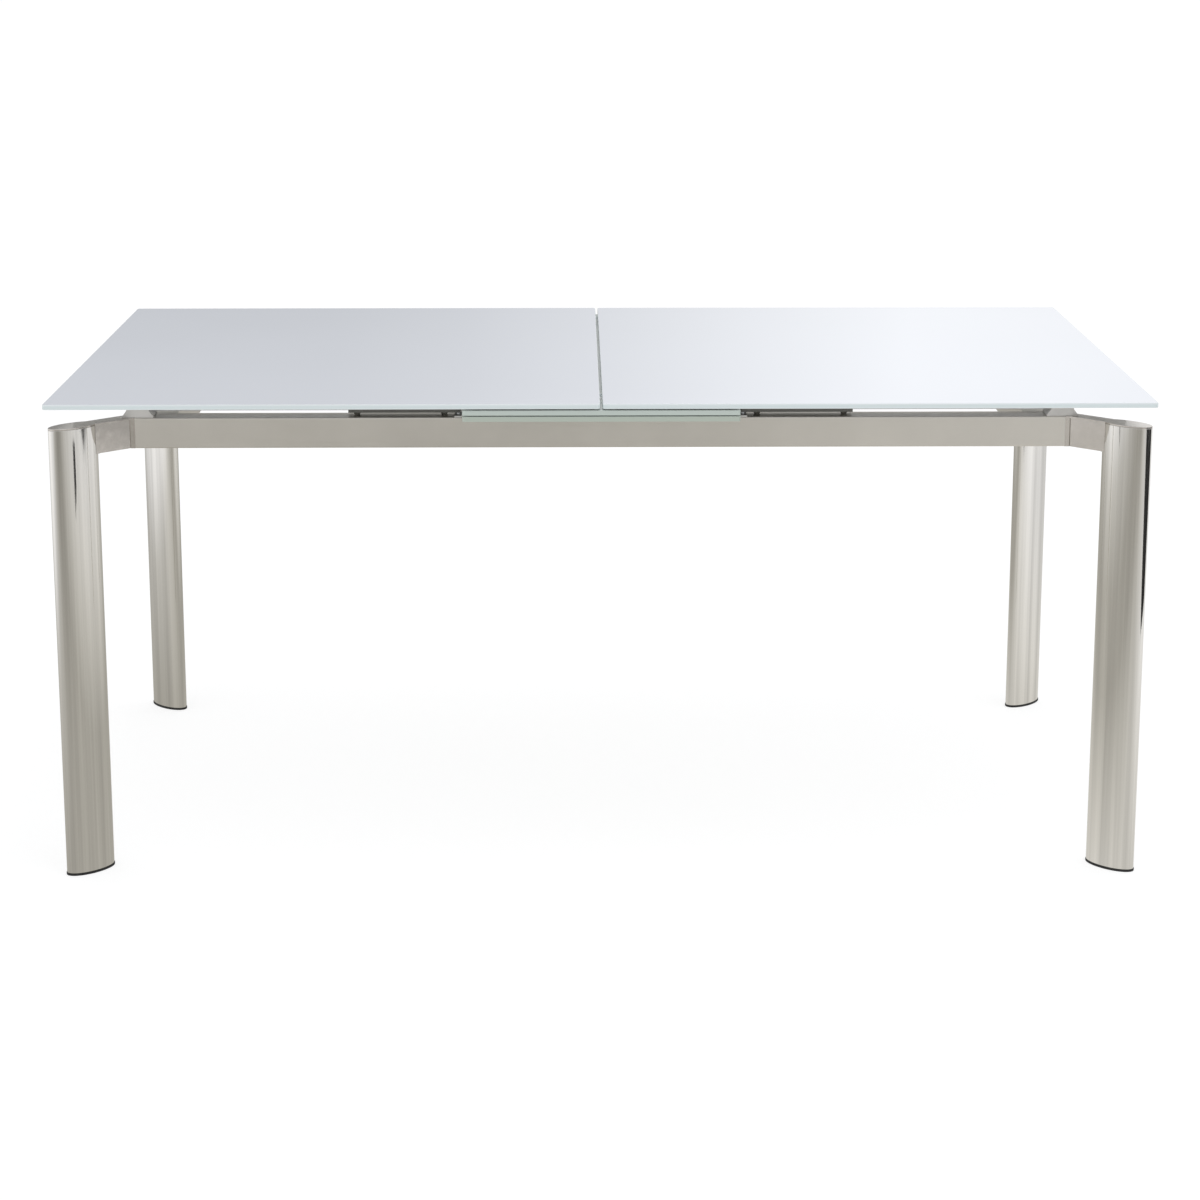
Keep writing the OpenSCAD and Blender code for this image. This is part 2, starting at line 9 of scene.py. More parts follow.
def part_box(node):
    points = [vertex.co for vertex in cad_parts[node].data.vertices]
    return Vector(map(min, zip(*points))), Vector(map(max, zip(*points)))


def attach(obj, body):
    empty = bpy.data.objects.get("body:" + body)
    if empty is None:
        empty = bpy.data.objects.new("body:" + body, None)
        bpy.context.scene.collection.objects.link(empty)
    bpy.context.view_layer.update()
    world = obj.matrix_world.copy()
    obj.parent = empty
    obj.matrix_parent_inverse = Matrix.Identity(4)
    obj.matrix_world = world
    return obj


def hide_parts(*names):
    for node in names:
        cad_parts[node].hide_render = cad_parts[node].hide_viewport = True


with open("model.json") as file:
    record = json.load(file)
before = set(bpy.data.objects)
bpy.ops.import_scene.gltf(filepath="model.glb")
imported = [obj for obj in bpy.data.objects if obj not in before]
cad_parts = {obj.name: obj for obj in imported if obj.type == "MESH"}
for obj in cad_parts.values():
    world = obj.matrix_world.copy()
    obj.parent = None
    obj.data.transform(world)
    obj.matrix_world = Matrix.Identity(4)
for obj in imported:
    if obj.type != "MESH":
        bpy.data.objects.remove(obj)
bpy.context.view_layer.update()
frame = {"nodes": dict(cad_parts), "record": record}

MM = 0.001

# Oval leg tube, and the cap and foot fitted to it
LEG_A = 41.4 * MM
LEG_B = 20 * MM
LEG_WALL = 2 * MM
LEG_ANGLE = math.radians(41)
LEG_LIP = 0.4 * MM
OVAL_STEPS = 144
FIT = 0.1 * MM
CAP_SEAM = 0.6 * MM
CAP_SEAM_EDGE = 0.2 * MM
CAP_ROUND = 0.8 * MM
CAP_PLUG_CHAMFER = 0.3 * MM
FOOT_PROUD = 0.8 * MM
FOOT_ROUND = 0.8 * MM
FOOT_TOP_ROUND = 0.5 * MM
FOOT_PLUG_CHAMFER = 1 * MM

# Points between the ends of a drawn round-over: shares of its radius, or distances
ARC_MIDDLE = 0.3
ARC_NEAR = 0.08
ARC_FAR = 0.62
FOOT_ARC_MIDDLE = 0.2 * MM
FOOT_TOP_ARC_MIDDLE = 0.15 * MM

# Panes
PANE_CORNER = 5 * MM
PANE_ARRIS = 0.9 * MM
ARRIS_STEPS = (0, 0.12, 0.5, 1)
CORNER_STEPS = 10
LEVEL_NORMAL = 0.999

# Rounding of machined, moulded and folded edges
SHARP_ANGLE = math.radians(32)
FLAT_ANGLE = math.radians(0.6)
MERGE_DISTANCE = 0.002 * MM
ROUNDING_STEPS = 2
CAST_EDGE = 0.8 * MM
MOULDED_EDGE = 0.5 * MM
SMALL_MOULDED_EDGE = 0.3 * MM
CARRIER_EDGE = 0.25 * MM
METAL_EDGE = 0.2 * MM
FINE_EDGE = 0.15 * MM
TAPE_EDGE = 0.1 * MM

CORNERS = [
    ("front_left", -1, -1),
    ("front_right", 1, -1),
    ("back_left", -1, 1),
    ("back_right", 1, 1),
]


# ---------------------------------------------------------------- materials

# The range that most values of a noise texture fall in
NOISE_LOW, NOISE_HIGH = 0.3, 0.7

GLASS_IOR = 1.52
SILICONE_IOR = 1.41

# Factors on the coordinates that stretch a noise into a grain
ALONG_X = (0.02, 1, 1)
ALONG_Y = (1, 0.02, 1)
ALONG_Z_BROAD = (75, 75, 0.7)
ALONG_Z_FINE = (420, 420, 5)
ACROSS_Z = (1, 1, 6)

WHITE = (1, 1, 1)


class Graph:
    """A material's node tree, with short calls for the nodes used here."""

    def __init__(self, name):
        self.material = bpy.data.materials.new(name)
        self.material.use_nodes = True
        tree = self.material.node_tree
        self.nodes = tree.nodes
        self.links = tree.links
        self.shader = self.nodes["Principled BSDF"]
        self.place = self.nodes.new("ShaderNodeTexCoord").outputs["Object"]
        self.normal = None

    def set(self, **values):
        """Sets plain numbers and colours on the shader's own sockets."""
        for name, value in values.items():
            self.shader.inputs[name.replace("_", " ")].default_value = value

    def feed(self, socket, output):
        self.links.new(output, self.shader.inputs[socket])

    def stretched(self, factors):
        """Object coordinates multiplied by a factor along each axis."""
        node = self.nodes.new("ShaderNodeMapping")
        node.inputs["Scale"].default_value = factors
        self.links.new(self.place, node.inputs["Vector"])
        return node.outputs["Vector"]

    def noise(self, scale, detail, rough=0.5, along=None):
        """Noise in object coordinates, stretched by the factors in along."""
        node = self.nodes.new("ShaderNodeTexNoise")
        node.inputs["Scale"].default_value = scale
        node.inputs["Detail"].default_value = detail
        node.inputs["Roughness"].default_value = rough
        at = self.stretched(along) if along else self.place
        self.links.new(at, node.inputs["Vector"])
        return node.outputs["Fac"]

    def cells(self, scale):
        node = self.nodes.new("ShaderNodeTexVoronoi")
        node.inputs["Scale"].default_value = scale
        self.links.new(self.place, node.inputs["Vector"])
        return node.outputs["Color"]

    def coordinate(self, axis):
        node = self.nodes.new("ShaderNodeSeparateXYZ")
        self.links.new(self.place, node.inputs["Vector"])
        return node.outputs[axis]

    def spread(self, value, low, high, source=(NOISE_LOW, NOISE_HIGH)):
        """Maps a value from the source range to low..high."""
        node = self.nodes.new("ShaderNodeMapRange")
        node.inputs["From Min"].default_value = source[0]
        node.inputs["From Max"].default_value = source[1]
        node.inputs["To Min"].default_value = low
        node.inputs["To Max"].default_value = high
        self.links.new(value, node.inputs["Value"])
        return node.outputs["Result"]

    def ramp(self, value, stops):
        """Colour ramp with (position, colour) stops."""
        node = self.nodes.new("ShaderNodeValToRGB")
        elements = node.color_ramp.elements
        while len(elements) < len(stops):
            elements.new(0.5)
        for element, (position, colour) in zip(elements, stops):
            element.position = position
            element.color = (*colour, 1)
        self.links.new(value, node.inputs["Fac"])
        return node.outputs["Color"]

    def times(self, first, second):
        """Product of two colours."""
        node = self.nodes.new("ShaderNodeVectorMath")
        node.operation = "MULTIPLY"
        self.links.new(first, node.inputs[0])
        self.links.new(second, node.inputs[1])
        return node.outputs["Vector"]

    def colour(self, value, dark, light, low=NOISE_LOW, high=NOISE_HIGH):
        """Base colour that goes from dark to light with a texture's value."""
        self.feed("Base Color", self.ramp(value, [(low, dark), (high, light)]))

    def rough(self, value, low, high):
        """Roughness that goes from low to high with a noise."""
        self.feed("Roughness", self.spread(value, low, high))

    def bump(self, value, strength, distance):
        """Adds a layer of bump on top of the ones before it."""
        node = self.nodes.new("ShaderNodeBump")
        node.inputs["Strength"].default_value = strength
        node.inputs["Distance"].default_value = distance
        self.links.new(value, node.inputs["Height"])
        if self.normal is not None:
            self.links.new(self.normal, node.inputs["Normal"])
        self.normal = node.outputs["Normal"]
        self.feed("Normal", self.normal)


def shades(colour, spread):
    """The colour a little darker and a little lighter."""
    darker = tuple(c * (1 - spread) for c in colour)
    lighter = tuple(min(c * (1 + spread), 1) for c in colour)
    return darker, lighter


def lacquered_glass(name, colour):
    """Glass seen over its lacquer: even colour, near-mirror face with a faint float wave."""
    g = Graph(name)
    g.colour(g.noise(scale=1.3, detail=2), *shades(colour, spread=0.015))
    g.rough(g.noise(scale=9, detail=5, rough=0.6), low=0.015, high=0.05)
    g.set(IOR=GLASS_IOR)
    g.bump(g.noise(scale=3.5, detail=1), strength=0.04, distance=0.3 * MM)
    return g.material


def polished_edge(name, bottom, top, core, rim):
    """Ground and polished glass edge: greener in the middle of its thickness."""
    g = Graph(name)
    across = g.spread(g.coordinate("Z"), 0, 1, source=(bottom, top))
    stops = [(0.0, rim), (0.22, core), (0.62, core), (0.9, rim)]
    g.feed("Base Color", g.ramp(across, stops))
    grain = g.noise(scale=420, detail=3, rough=0.6, along=ACROSS_Z)
    g.rough(grain, low=0.05, high=0.14)
    g.set(IOR=GLASS_IOR)
    g.bump(grain, strength=0.05, distance=0.05 * MM)
    return g.material


def lacquer_back(name, colour):
    """The painted underside of a pane: satin film with roller texture."""
    g = Graph(name)
    g.colour(g.noise(scale=6, detail=4), *shades(colour, spread=0.04))
    texture = g.noise(scale=700, detail=3, rough=0.6)
    g.rough(texture, low=0.38, high=0.55)
    g.bump(texture, strength=0.12, distance=0.1 * MM)
    return g.material


def satin_steel(name, colour, low, high, grain_axes, grain_strength):
    """Metal with a fine directional grain, faint clouds and soft waves."""
    g = Graph(name)
    g.colour(g.noise(scale=5, detail=4, rough=0.6), *shades(colour, spread=0.05))
    grain = g.noise(scale=900, detail=4, rough=0.7, along=grain_axes)
    g.rough(grain, low, high)
    g.set(Metallic=1.0)
    g.bump(grain, grain_strength, distance=0.05 * MM)
    g.bump(g.noise(scale=14, detail=2), strength=0.03, distance=0.2 * MM)
    return g.material


def polished_tube(name, colour):
    """Steel tube polished along its length: long streaks in tone, gloss and relief."""
    g = Graph(name)
    bands = g.noise(scale=1, detail=2, along=ALONG_Z_BROAD)
    streaks = g.noise(scale=1, detail=3, rough=0.6, along=ALONG_Z_FINE)
    dark, light = shades(colour, spread=0.13)
    faint, _ = shades(WHITE, spread=0.05)
    tone = g.ramp(bands, [(0.34, dark), (0.66, light)])
    shade = g.ramp(streaks, [(NOISE_LOW, faint), (NOISE_HIGH, WHITE)])
    g.feed("Base Color", g.times(tone, shade))
    g.rough(streaks, low=0.05, high=0.14)
    g.set(Metallic=1.0)
    g.bump(bands, strength=0.45, distance=0.4 * MM)
    g.bump(streaks, strength=0.08, distance=0.05 * MM)
    return g.material


def cast_metal(name, colour):
    """Polished casting: soft waves left by hand finishing and fine pores."""
    g = Graph(name)
    g.colour(g.noise(scale=22, detail=5, rough=0.6), *shades(colour, spread=0.06))
    g.rough(g.noise(scale=90, detail=4, rough=0.6), low=0.14, high=0.26)
    g.set(Metallic=1.0)
    g.bump(g.noise(scale=26, detail=2), strength=0.45, distance=0.6 * MM)
    g.bump(g.noise(scale=1800, detail=2), strength=0.06, distance=0.04 * MM)
    return g.material


def zinc_plate(name, colour):
    """Zinc plating: pale spangles of slightly different grey and gloss."""
    g = Graph(name)
    g.colour(g.cells(scale=240), *shades(colour, spread=0.10), low=0, high=1)
    g.rough(g.noise(scale=160, detail=4, rough=0.6), low=0.26, high=0.42)
    g.set(Metallic=1.0)
    g.bump(g.noise(scale=900, detail=3), strength=0.08, distance=0.05 * MM)
    return g.material


def moulded_plastic(name, colour, low, high, texture_scale=1400):
    """Moulded plastic: spark-eroded skin, faint flow shading, gloss varying a little."""
    g = Graph(name)
    g.colour(g.noise(scale=35, detail=4, rough=0.6), *shades(colour, spread=0.07))
    g.rough(g.noise(scale=120, detail=3), low, high)
    g.bump(g.noise(texture_scale, detail=2, rough=0.6), strength=0.22, distance=0.06 * MM)
    return g.material


def clear_silicone(name, dark, light):
    """Clear soft buffer with a slightly uneven gloss."""
    g = Graph(name)
    g.colour(g.noise(scale=300, detail=2), dark, light)
    g.rough(g.noise(scale=500, detail=2), low=0.12, high=0.28)
    g.set(IOR=SILICONE_IOR, Transmission_Weight=0.6)
    return g.material


def foam_tape(name, colour):
    """Dark bonding tape with open foam cells."""
    g = Graph(name)
    cell = g.noise(scale=1600, detail=2, rough=0.7)
    g.colour(cell, *shades(colour, spread=0.15), low=0.35, high=0.65)
    g.rough(cell, low=0.75, high=0.95)
    g.bump(cell, strength=0.4, distance=0.1 * MM)
    return g.material


pane_low, pane_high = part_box("left_glass")
TOP_FACE = lacquered_glass("top_glass_face", (0.76, 0.785, 0.84))
TOP_EDGE = polished_edge(
    "top_glass_edge", pane_low.z, pane_high.z, core=(0.65, 0.72, 0.725), rim=(0.75, 0.79, 0.80)
)
TOP_BACK = lacquer_back("top_glass_back", (0.72, 0.73, 0.73))
LEAF_FACE = lacquered_glass("leaf_glass_face", (0.76, 0.82, 0.79))
# The lower leaf's edge is a darker, more olive copy of the upper leaf's edge: painted shade, plus
# a painted reflection of the rail below it
LEAF_EDGES = {
    "leaf_upper": lacquered_glass("upper_leaf_edge", (0.50, 0.56, 0.52)),
    "leaf_lower": lacquered_glass("lower_leaf_edge_painted_shade", (0.43, 0.48, 0.42)),
}
LEAF_BACK = lacquer_back("leaf_glass_back", (0.62, 0.66, 0.63))

FRAME_FINISH = {"colour": (0.65, 0.625, 0.58), "low": 0.28, "high": 0.40, "grain_strength": 0.16}
INNER_FINISH = {"colour": (0.62, 0.62, 0.61), "low": 0.30, "high": 0.45, "grain_strength": 0.12}
LEG_METAL = polished_tube("leg_metal", (0.73, 0.715, 0.69))
FRAME_METAL_X = satin_steel("frame_metal_x", grain_axes=ALONG_X, **FRAME_FINISH)
FRAME_METAL_Y = satin_steel("frame_metal_y", grain_axes=ALONG_Y, **FRAME_FINISH)
CARRIER_METAL = satin_steel("carrier_metal", grain_axes=ALONG_X, **INNER_FINISH)
GUIDE_METAL = satin_steel("guide_metal", grain_axes=ALONG_Y, **INNER_FINISH)
CAST_METAL = cast_metal("cast_metal", (0.57, 0.54, 0.505))
ZINC = zinc_plate("zinc_steel", (0.66, 0.67, 0.69))
GLIDE_PLASTIC = moulded_plastic("glide_plastic", (0.56, 0.545, 0.52), low=0.38, high=0.55)
BLOCK_PLASTIC = moulded_plastic("block_plastic", (0.12, 0.118, 0.105), low=0.35, high=0.50)
SPACER_PLASTIC = moulded_plastic("spacer_plastic", (0.18, 0.175, 0.15), low=0.35, high=0.50)
FOOT_RUBBER = moulded_plastic(
    "foot_rubber", (0.012, 0.012, 0.012), low=0.60, high=0.80, texture_scale=900
)
STRIP_NYLON = moulded_plastic("strip_nylon", (0.78, 0.78, 0.74), low=0.40, high=0.55)
SILICONE = clear_silicone("clear_buffer", dark=(0.80, 0.86, 0.88), light=(0.9, 0.94, 0.95))
TAPE = foam_tape("bond_tape", (0.05, 0.05, 0.05))


# ---------------------------------------------------------------- mesh helpers


def body_of(node):
    for body, members in frame["record"]["behaviour"]["bodies"].items():
        if node in members:
            return body


def finish_piece(mesh, node, materials):
    """Makes the object, with its materials and smooth shading, in its CAD node's place."""
    piece = bpy.data.objects.new(mesh.name, mesh)
    bpy.context.scene.collection.objects.link(piece)
    mesh.materials.clear()
    for material in materials:
        mesh.materials.append(material)
    mesh.shade_smooth()
    mesh.set_sharp_from_angle(angle=SHARP_ANGLE)
    weighted = piece.modifiers.new("weighted_normals", "WEIGHTED_NORMAL")
    weighted.keep_sharp = True
    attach(piece, body_of(node))
    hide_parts(node)


def skin(rings, closed=False):
    """Joins rings of points, all of the same length. The ends are capped, or joined if closed."""
    bm = bmesh.new()
    made = [[bm.verts.new(p) for p in ring] for ring in rings]
    pairs = list(zip(made, made[1:]))
    if closed:
        pairs.append((made[-1], made[0]))
    for lower, upper in pairs:
        count = len(lower)
        for i in range(count):
            j = (i + 1) % count
            bm.faces.new((lower[i], lower[j], upper[j], upper[i]))
    if not closed:
        bm.faces.new(list(reversed(made[0])))
        bm.faces.new(made[-1])
    return bm


def to_mesh(bm, name):
    bmesh.ops.recalc_face_normals(bm, faces=bm.faces)
    mesh = bpy.data.meshes.new(name)
    bm.to_mesh(mesh)
    bm.free()
    return mesh


def softened(node, material, radius):
    """A CAD node's shape with its sharp edges rounded over."""
    bm = bmesh.new()
    bm.from_mesh(frame["nodes"][node].data)
    bmesh.ops.remove_doubles(bm, verts=bm.verts, dist=MERGE_DISTANCE)
    bmesh.ops.dissolve_limit(
        bm, angle_limit=FLAT_ANGLE, verts=bm.verts, edges=bm.edges, use_dissolve_boundaries=False
    )
    sharp = [
        e for e in bm.edges
        if len(e.link_faces) == 2 and e.calc_face_angle(0) > SHARP_ANGLE
    ]
    bmesh.ops.bevel(
        bm, geom=sharp, offset=radius, segments=ROUNDING_STEPS, profile=0.5,
        affect="EDGES", clamp_overlap=True,
    )
    finish_piece(to_mesh(bm, node + "_finished"), node, [material])


# ---------------------------------------------------------------- glass


def pane_ring(low, high, inset, z):
    """Rectangle with round corners, drawn in by inset."""
    radius = PANE_CORNER - inset
    left, right = low.x + PANE_CORNER, high.x - PANE_CORNER
    front, back = low.y + PANE_CORNER, high.y - PANE_CORNER
    points = []
    for quarter, (x, y) in enumerate([(right, back), (left, back), (left, front), (right, front)]):
        for step in range(CORNER_STEPS + 1):
            angle = math.pi / 2 * (quarter + step / CORNER_STEPS)
            points.append((x + radius * math.cos(angle), y + radius * math.sin(angle), z))
    return points


def pane(node, face, edge, back):
    """Glass pane with polished arrises: face on top, lacquer underneath, edge all round."""
    low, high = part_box(node)
    below = []
    for t in ARRIS_STEPS:
        inset = (1 - math.sqrt(t * (2 - t))) * PANE_ARRIS
        below.append((inset, low.z + t * PANE_ARRIS))
    above = [(inset, low.z + high.z - z) for inset, z in reversed(below)]
    bm = skin([pane_ring(low, high, inset, z) for inset, z in below + above])
    mesh = to_mesh(bm, node + "_pane")
    finish_piece(mesh, node, [face, edge, back])
    for polygon in mesh.polygons:
        if abs(polygon.normal.z) < LEVEL_NORMAL:
            polygon.material_index = 1
        elif polygon.normal.z < 0:
            polygon.material_index = 2


# ---------------------------------------------------------------- legs


def oval_ring(grow, z):
    """Ring of the leg's oval, grown by a distance all round, in the leg's own frame."""
    points = []
    for step in range(OVAL_STEPS):
        angle = 2 * math.pi * step / OVAL_STEPS
        points.append(((LEG_A + grow) * math.cos(angle), (LEG_B + grow) * math.sin(angle), z))
    return points


def leg_place(name, sx, sy):
    """Matrix from a leg's own frame to its place under the table."""
    low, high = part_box("leg_" + name)
    centre = (low + high) / 2
    turn = Matrix.Rotation(LEG_ANGLE, 4, "Z")
    flip = Matrix.Diagonal((sx, sy, 1, 1))
    return Matrix.Translation((centre.x, centre.y, 0)) @ flip @ turn


def oval_piece(node, place, profile, material, closed=False):
    """Surface through (growth, height) pairs of the leg's oval."""
    bm = skin([oval_ring(grow, z) for grow, z in profile], closed)
    bm.transform(place)
    finish_piece(to_mesh(bm, node + "_finished"), node, [material])


def tube_profile(bottom, top):
    """Tube wall with broken edges: up the outside and down the inside."""
    middle = ARC_MIDDLE * LEG_LIP
    return [
        (-LEG_LIP, bottom),
        (-middle, bottom + middle),
        (0, bottom + LEG_LIP),
        (0, top - LEG_LIP),
        (-middle, top - middle),
        (-LEG_LIP, top),
        (-LEG_WALL + LEG_LIP, top),
        (-LEG_WALL, top - LEG_LIP),
        (-LEG_WALL, bottom + LEG_LIP),
        (-LEG_WALL + LEG_LIP, bottom),
    ]


def cap_profile(bottom, tube_top, top):
    """Plug inside the tube, a narrow seam over the tube's end, and a rounded flat cap."""
    plug = -LEG_WALL - FIT
    seam_top = tube_top + CAP_SEAM
    return [
        (plug - CAP_PLUG_CHAMFER, bottom),
        (plug, bottom + CAP_PLUG_CHAMFER),
        (plug, tube_top),
        (-LEG_WALL / 2, tube_top),
        (-LEG_WALL / 2, seam_top),
        (-CAP_SEAM_EDGE, seam_top),
        (0, seam_top + CAP_SEAM_EDGE),
        (0, top - CAP_ROUND),
        (-ARC_NEAR * CAP_ROUND, top - ARC_FAR * CAP_ROUND),
        (-ARC_MIDDLE * CAP_ROUND, top - ARC_MIDDLE * CAP_ROUND),
        (-ARC_FAR * CAP_ROUND, top - ARC_NEAR * CAP_ROUND),
        (-CAP_ROUND, top),
    ]


def foot_profile(tube_bottom, top):
    """Rounded rubber sole, a little proud of the tube, with a plug inside it."""
    plug = -LEG_WALL - FIT
    return [
        (FOOT_PROUD - FOOT_ROUND, 0),
        (FOOT_PROUD - FOOT_ARC_MIDDLE, FOOT_ARC_MIDDLE),
        (FOOT_PROUD, FOOT_ROUND),
        (FOOT_PROUD, tube_bottom - FOOT_TOP_ROUND),
        (FOOT_PROUD - FOOT_TOP_ARC_MIDDLE, tube_bottom - FOOT_TOP_ARC_MIDDLE),
        (FOOT_PROUD - FOOT_TOP_ROUND, tube_bottom),
        (plug, tube_bottom),
        (plug, top - FOOT_PLUG_CHAMFER),
        (plug - FOOT_PLUG_CHAMFER, top),
    ]


def leg_set(name, sx, sy):
    """A leg tube with its cap and foot."""
    place = leg_place(name, sx, sy)
    tube, cap, foot = "leg_" + name, "leg_cap_" + name, "foot_" + name
    tube_low, tube_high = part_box(tube)
    cap_low, cap_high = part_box(cap)
    foot_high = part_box(foot)[1]
    oval_piece(tube, place, tube_profile(tube_low.z, tube_high.z), LEG_METAL, closed=True)
    oval_piece(cap, place, cap_profile(cap_low.z, tube_high.z, cap_high.z), CAST_METAL)
    oval_piece(foot, place, foot_profile(tube_low.z, foot_high.z), FOOT_RUBBER)


# ---------------------------------------------------------------- stage

WORLD_COLOUR = (0.97, 0.98, 1.0, 1)
WORLD_STRENGTH = 0.85

FLOOR_REACH = 40
FLOOR_GREY = (0.32, 0.32, 0.32)
FLOOR_GLOW = 0.74
WALL_HEIGHT = 30

# What the polished metal sees of the studio floor: warm grey near the table, brighter
# to the sides. Tones are (place, brightness, warmth), here and below
GLOW_REACH = 7.0
GLOW_LIFT = 0.6 * MM
# Dimmer and warmer near the table: a painted shadow of the table on the floor, which only
# reflections show
GLOW_ALONG_X = [
    (-4.0, 1.1), (-2.8, 0.95), (-1.9, 0.62, 0.07), (-0.8, 0.44, 0.12), (-0.1, 0.43, 0.12),
    (0.5, 0.60, 0.09), (1.1, 0.74, 0.06), (1.8, 0.80, 0.03), (2.6, 0.84), (4.0, 0.98),
]
GLOW_ALONG_Y = [(-5.0, 0.85), (-3.2, 0.97), (-2.0, 1.06), (-1.0, 1.17), (0.0, 1.17), (2.5, 0.9)]

# Black flags that draw a dark streak down each front leg
FLAG_BLACK = [(0, 0.02), (1, 0.04)]
RIGHT_FLAG_X = 1.28
RIGHT_FLAG = [(-1.75, 0.48), (-0.80, 0.23), (-0.36, 0.33), (-0.36, 0.66), (-1.75, 0.60)]
LEFT_FLAG = [
    (-0.318, -0.792, 0.43), (-0.286, -0.742, 0.49),
    (-0.286, -0.742, 0.57), (-0.318, -0.792, 0.57),
]

# Wall that only the glass reflects: dim on the left, bright on the right
GRADIENT_HALF = 4.5
GRADIENT_Y = 6.0
GRADIENT_LOW, GRADIENT_HIGH = 0.9, 5.0
GRADIENT_ALONG_X = [
    (-4.5, 0.83), (-3.4, 0.45), (-1.9, 0.34), (-1.0, 0.35), (-0.5, 0.43),
    (0.0, 0.60), (0.6, 0.85), (1.3, 1.12), (2.0, 1.08), (4.5, 0.85),
]

LIGHT_PLACE = (0.6, -0.5, 3.6)
LIGHT_TARGET = (0, 0, 0.7)
LIGHT_SIZE = (3.5, 2.5)
LIGHT_POWER = 25


def grey(value, warmth=0.0):
    """A grey with less blue, and a little less green, when warm."""
    return (value, value * (1 - 0.25 * warmth), value * (1 - warmth))


def floor_material(name, colour, glow):
    """Matt white floor with an even glow of its own."""
    g = Graph(name)
    g.colour(g.noise(scale=0.6, detail=2), *shades(colour, spread=0.004))
    g.rough(g.noise(scale=2, detail=2), low=0.85, high=0.95)
    g.set(Emission_Strength=glow, Specular_IOR_Level=0.1, Emission_Color=(1, 1, 1, 1))
    return g.material


def card_material(name, **ramps):
    """Glowing card. The (span, tones) ramp of each axis runs along it, and they multiply."""
    g = Graph(name)
    g.set(Roughness=1.0, Specular_IOR_Level=0.0, Emission_Strength=1.0, Base_Color=(0, 0, 0, 1))
    glow = None
    for axis, ((low, high), tones) in ramps.items():
        along = g.spread(g.coordinate(axis), 0, 1, source=(low, high))
        stops = [((place - low) / (high - low), grey(*tone)) for place, *tone in tones]
        layer = g.ramp(along, stops)
        glow = layer if glow is None else g.times(glow, layer)
    g.feed("Emission Color", glow)
    return g.material


def stage_piece(name, points, faces, material, unseen_by=()):
    """Piece of the studio, left out of sight of some kinds of rays."""
    mesh = bpy.data.meshes.new(name)
    mesh.from_pydata(points, [], faces)
    mesh.materials.append(material)
    piece = bpy.data.objects.new(name, mesh)
    bpy.context.scene.collection.objects.link(piece)
    for rays in unseen_by:
        setattr(piece, "visible_" + rays, False)


def reflected_card(name, points, material):
    """Flat card that only mirror-like surfaces show."""
    unseen_by = ("camera", "diffuse", "shadow", "transmission")
    stage_piece(name, points, [range(len(points))], material, unseen_by)


def square(reach, z):
    return [(-reach, -reach, z), (reach, -reach, z), (reach, reach, z), (-reach, reach, z)]


def backdrop():
    """White walls round the floor. Only the camera sees them, and low views show no horizon."""
    points = square(FLOOR_REACH, 0) + square(FLOOR_REACH, WALL_HEIGHT)
    sides = [(i, (i + 1) % 4, (i + 1) % 4 + 4, i + 4) for i in range(4)]
    white = card_material("backdrop_white", Z=((0, WALL_HEIGHT), [(0, 1.0), (WALL_HEIGHT, 1.05)]))
    stage_piece(
        "backdrop", points, sides, white,
        unseen_by=("diffuse", "glossy", "transmission", "shadow"),
    )


def overhead_light():
    light = bpy.data.lights.new("overhead", "AREA")
    light.shape = "RECTANGLE"
    light.size, light.size_y = LIGHT_SIZE
    light.energy = LIGHT_POWER
    lamp = bpy.data.objects.new("overhead", light)
    lamp.location = LIGHT_PLACE
    aim = Vector(LIGHT_TARGET) - Vector(LIGHT_PLACE)
    lamp.rotation_euler = aim.to_track_quat("-Z", "Y").to_euler()
    lamp.visible_camera = False
    bpy.context.scene.collection.objects.link(lamp)


def studio():
    world = bpy.data.worlds.new("studio")
    bpy.context.scene.world = world
    world.use_nodes = True
    background = world.node_tree.nodes["Background"]
    background.inputs["Color"].default_value = WORLD_COLOUR
    background.inputs["Strength"].default_value = WORLD_STRENGTH

    floor_white = floor_material("floor_white", FLOOR_GREY, FLOOR_GLOW)
    stage_piece("floor", square(FLOOR_REACH, 0), [range(4)], floor_white)
    backdrop()

    glow_span = (-GLOW_REACH, GLOW_REACH)
    glow = card_material("floor_glow", X=(glow_span, GLOW_ALONG_X), Y=(glow_span, GLOW_ALONG_Y))
    reflected_card("floor_glow", square(GLOW_REACH, GLOW_LIFT), glow)

    flag_black = card_material("flag_black", Z=((0, 1), FLAG_BLACK))
    reflected_card("right_flag", [(RIGHT_FLAG_X, y, z) for y, z in RIGHT_FLAG], flag_black)
    reflected_card("left_flag", LEFT_FLAG, flag_black)

    gradient_span = (-GRADIENT_HALF, GRADIENT_HALF)
    gradient = card_material("gradient_wall", X=(gradient_span, GRADIENT_ALONG_X))
    gradient_points = [
        (-GRADIENT_HALF, GRADIENT_Y, GRADIENT_LOW), (GRADIENT_HALF, GRADIENT_Y, GRADIENT_LOW),
        (GRADIENT_HALF, GRADIENT_Y, GRADIENT_HIGH), (-GRADIENT_HALF, GRADIENT_Y, GRADIENT_HIGH),
    ]
    reflected_card("gradient_wall", gradient_points, gradient)
    overhead_light()


# ---------------------------------------------------------------- camera

CAMERA_LENS = 78.6
CAMERA_SENSOR = 36
CAMERA_SHIFT = -0.15
CAMERA_CLIP = 200
CAMERA_PLACE = (-0.041, -4.355, 1.549)
DEGREES_DOWN = 11.8
DEGREES_TURNED = -0.57


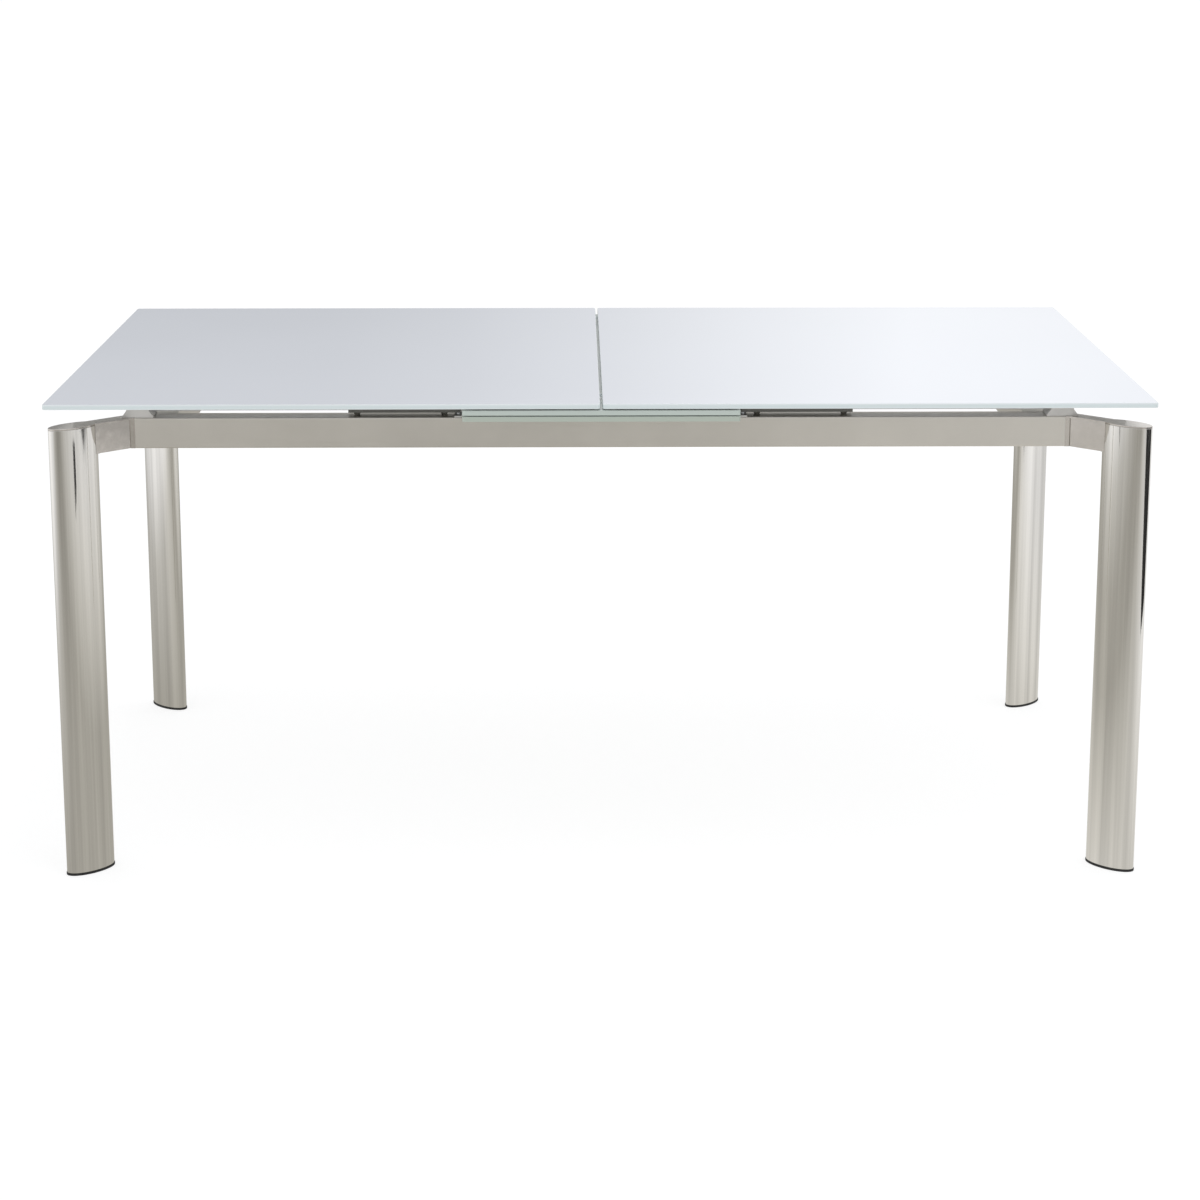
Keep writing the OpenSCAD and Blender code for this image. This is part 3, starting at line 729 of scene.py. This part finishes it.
def camera():
    data = bpy.data.cameras.new("camera")
    data.lens = CAMERA_LENS
    data.sensor_width = CAMERA_SENSOR
    data.shift_y = CAMERA_SHIFT
    data.clip_end = CAMERA_CLIP
    view = bpy.data.objects.new("camera", data)
    view.location = CAMERA_PLACE
    view.rotation_euler = (math.radians(90 - DEGREES_DOWN), 0, math.radians(DEGREES_TURNED))
    bpy.context.scene.collection.objects.link(view)
    bpy.context.scene.camera = view


# ---------------------------------------------------------------- build

pane("left_glass", TOP_FACE, TOP_EDGE, TOP_BACK)
pane("right_glass", TOP_FACE, TOP_EDGE, TOP_BACK)
for leaf, leaf_edge in LEAF_EDGES.items():
    pane(leaf, LEAF_FACE, leaf_edge, LEAF_BACK)

for name, sx, sy in CORNERS:
    leg_set(name, sx, sy)
    softened("corner_arm_" + name, CAST_METAL, CAST_EDGE)
    softened("corner_glide_" + name, GLIDE_PLASTIC, MOULDED_EDGE)
    softened("slide_block_" + name, BLOCK_PLASTIC, MOULDED_EDGE)

for side in ("front", "back"):
    softened("side_rail_" + side, FRAME_METAL_X, METAL_EDGE)
for side in ("left", "right"):
    softened("end_rail_" + side, FRAME_METAL_Y, METAL_EDGE)
    softened(side + "_carriers", CARRIER_METAL, CARRIER_EDGE)
    softened(side + "_outer_slides", ZINC, METAL_EDGE)
    softened(side + "_middle_slides", ZINC, METAL_EDGE)
    softened(side + "_inner_slides", ZINC, METAL_EDGE)
    softened(side + "_slide_strips", STRIP_NYLON, FINE_EDGE)
    softened(side + "_bond_strips", TAPE, TAPE_EDGE)
    softened(side + "_carrier_screws", ZINC, FINE_EDGE)
    softened("leaf_guide_" + side, GUIDE_METAL, METAL_EDGE)

for node in ("leg_saddles", "leg_bolts", "arm_screws", "glide_screws", "block_screws",
             "slide_screws", "guide_screws"):
    softened(node, ZINC, METAL_EDGE)
softened("leaf_stops", GUIDE_METAL, METAL_EDGE)
softened("block_spacers", SPACER_PLASTIC, SMALL_MOULDED_EDGE)
softened("meeting_buffers", SILICONE, METAL_EDGE)
softened("leaf_buffers", SILICONE, SMALL_MOULDED_EDGE)

studio()
camera()
bpy.context.scene.view_settings.view_transform = "Standard"
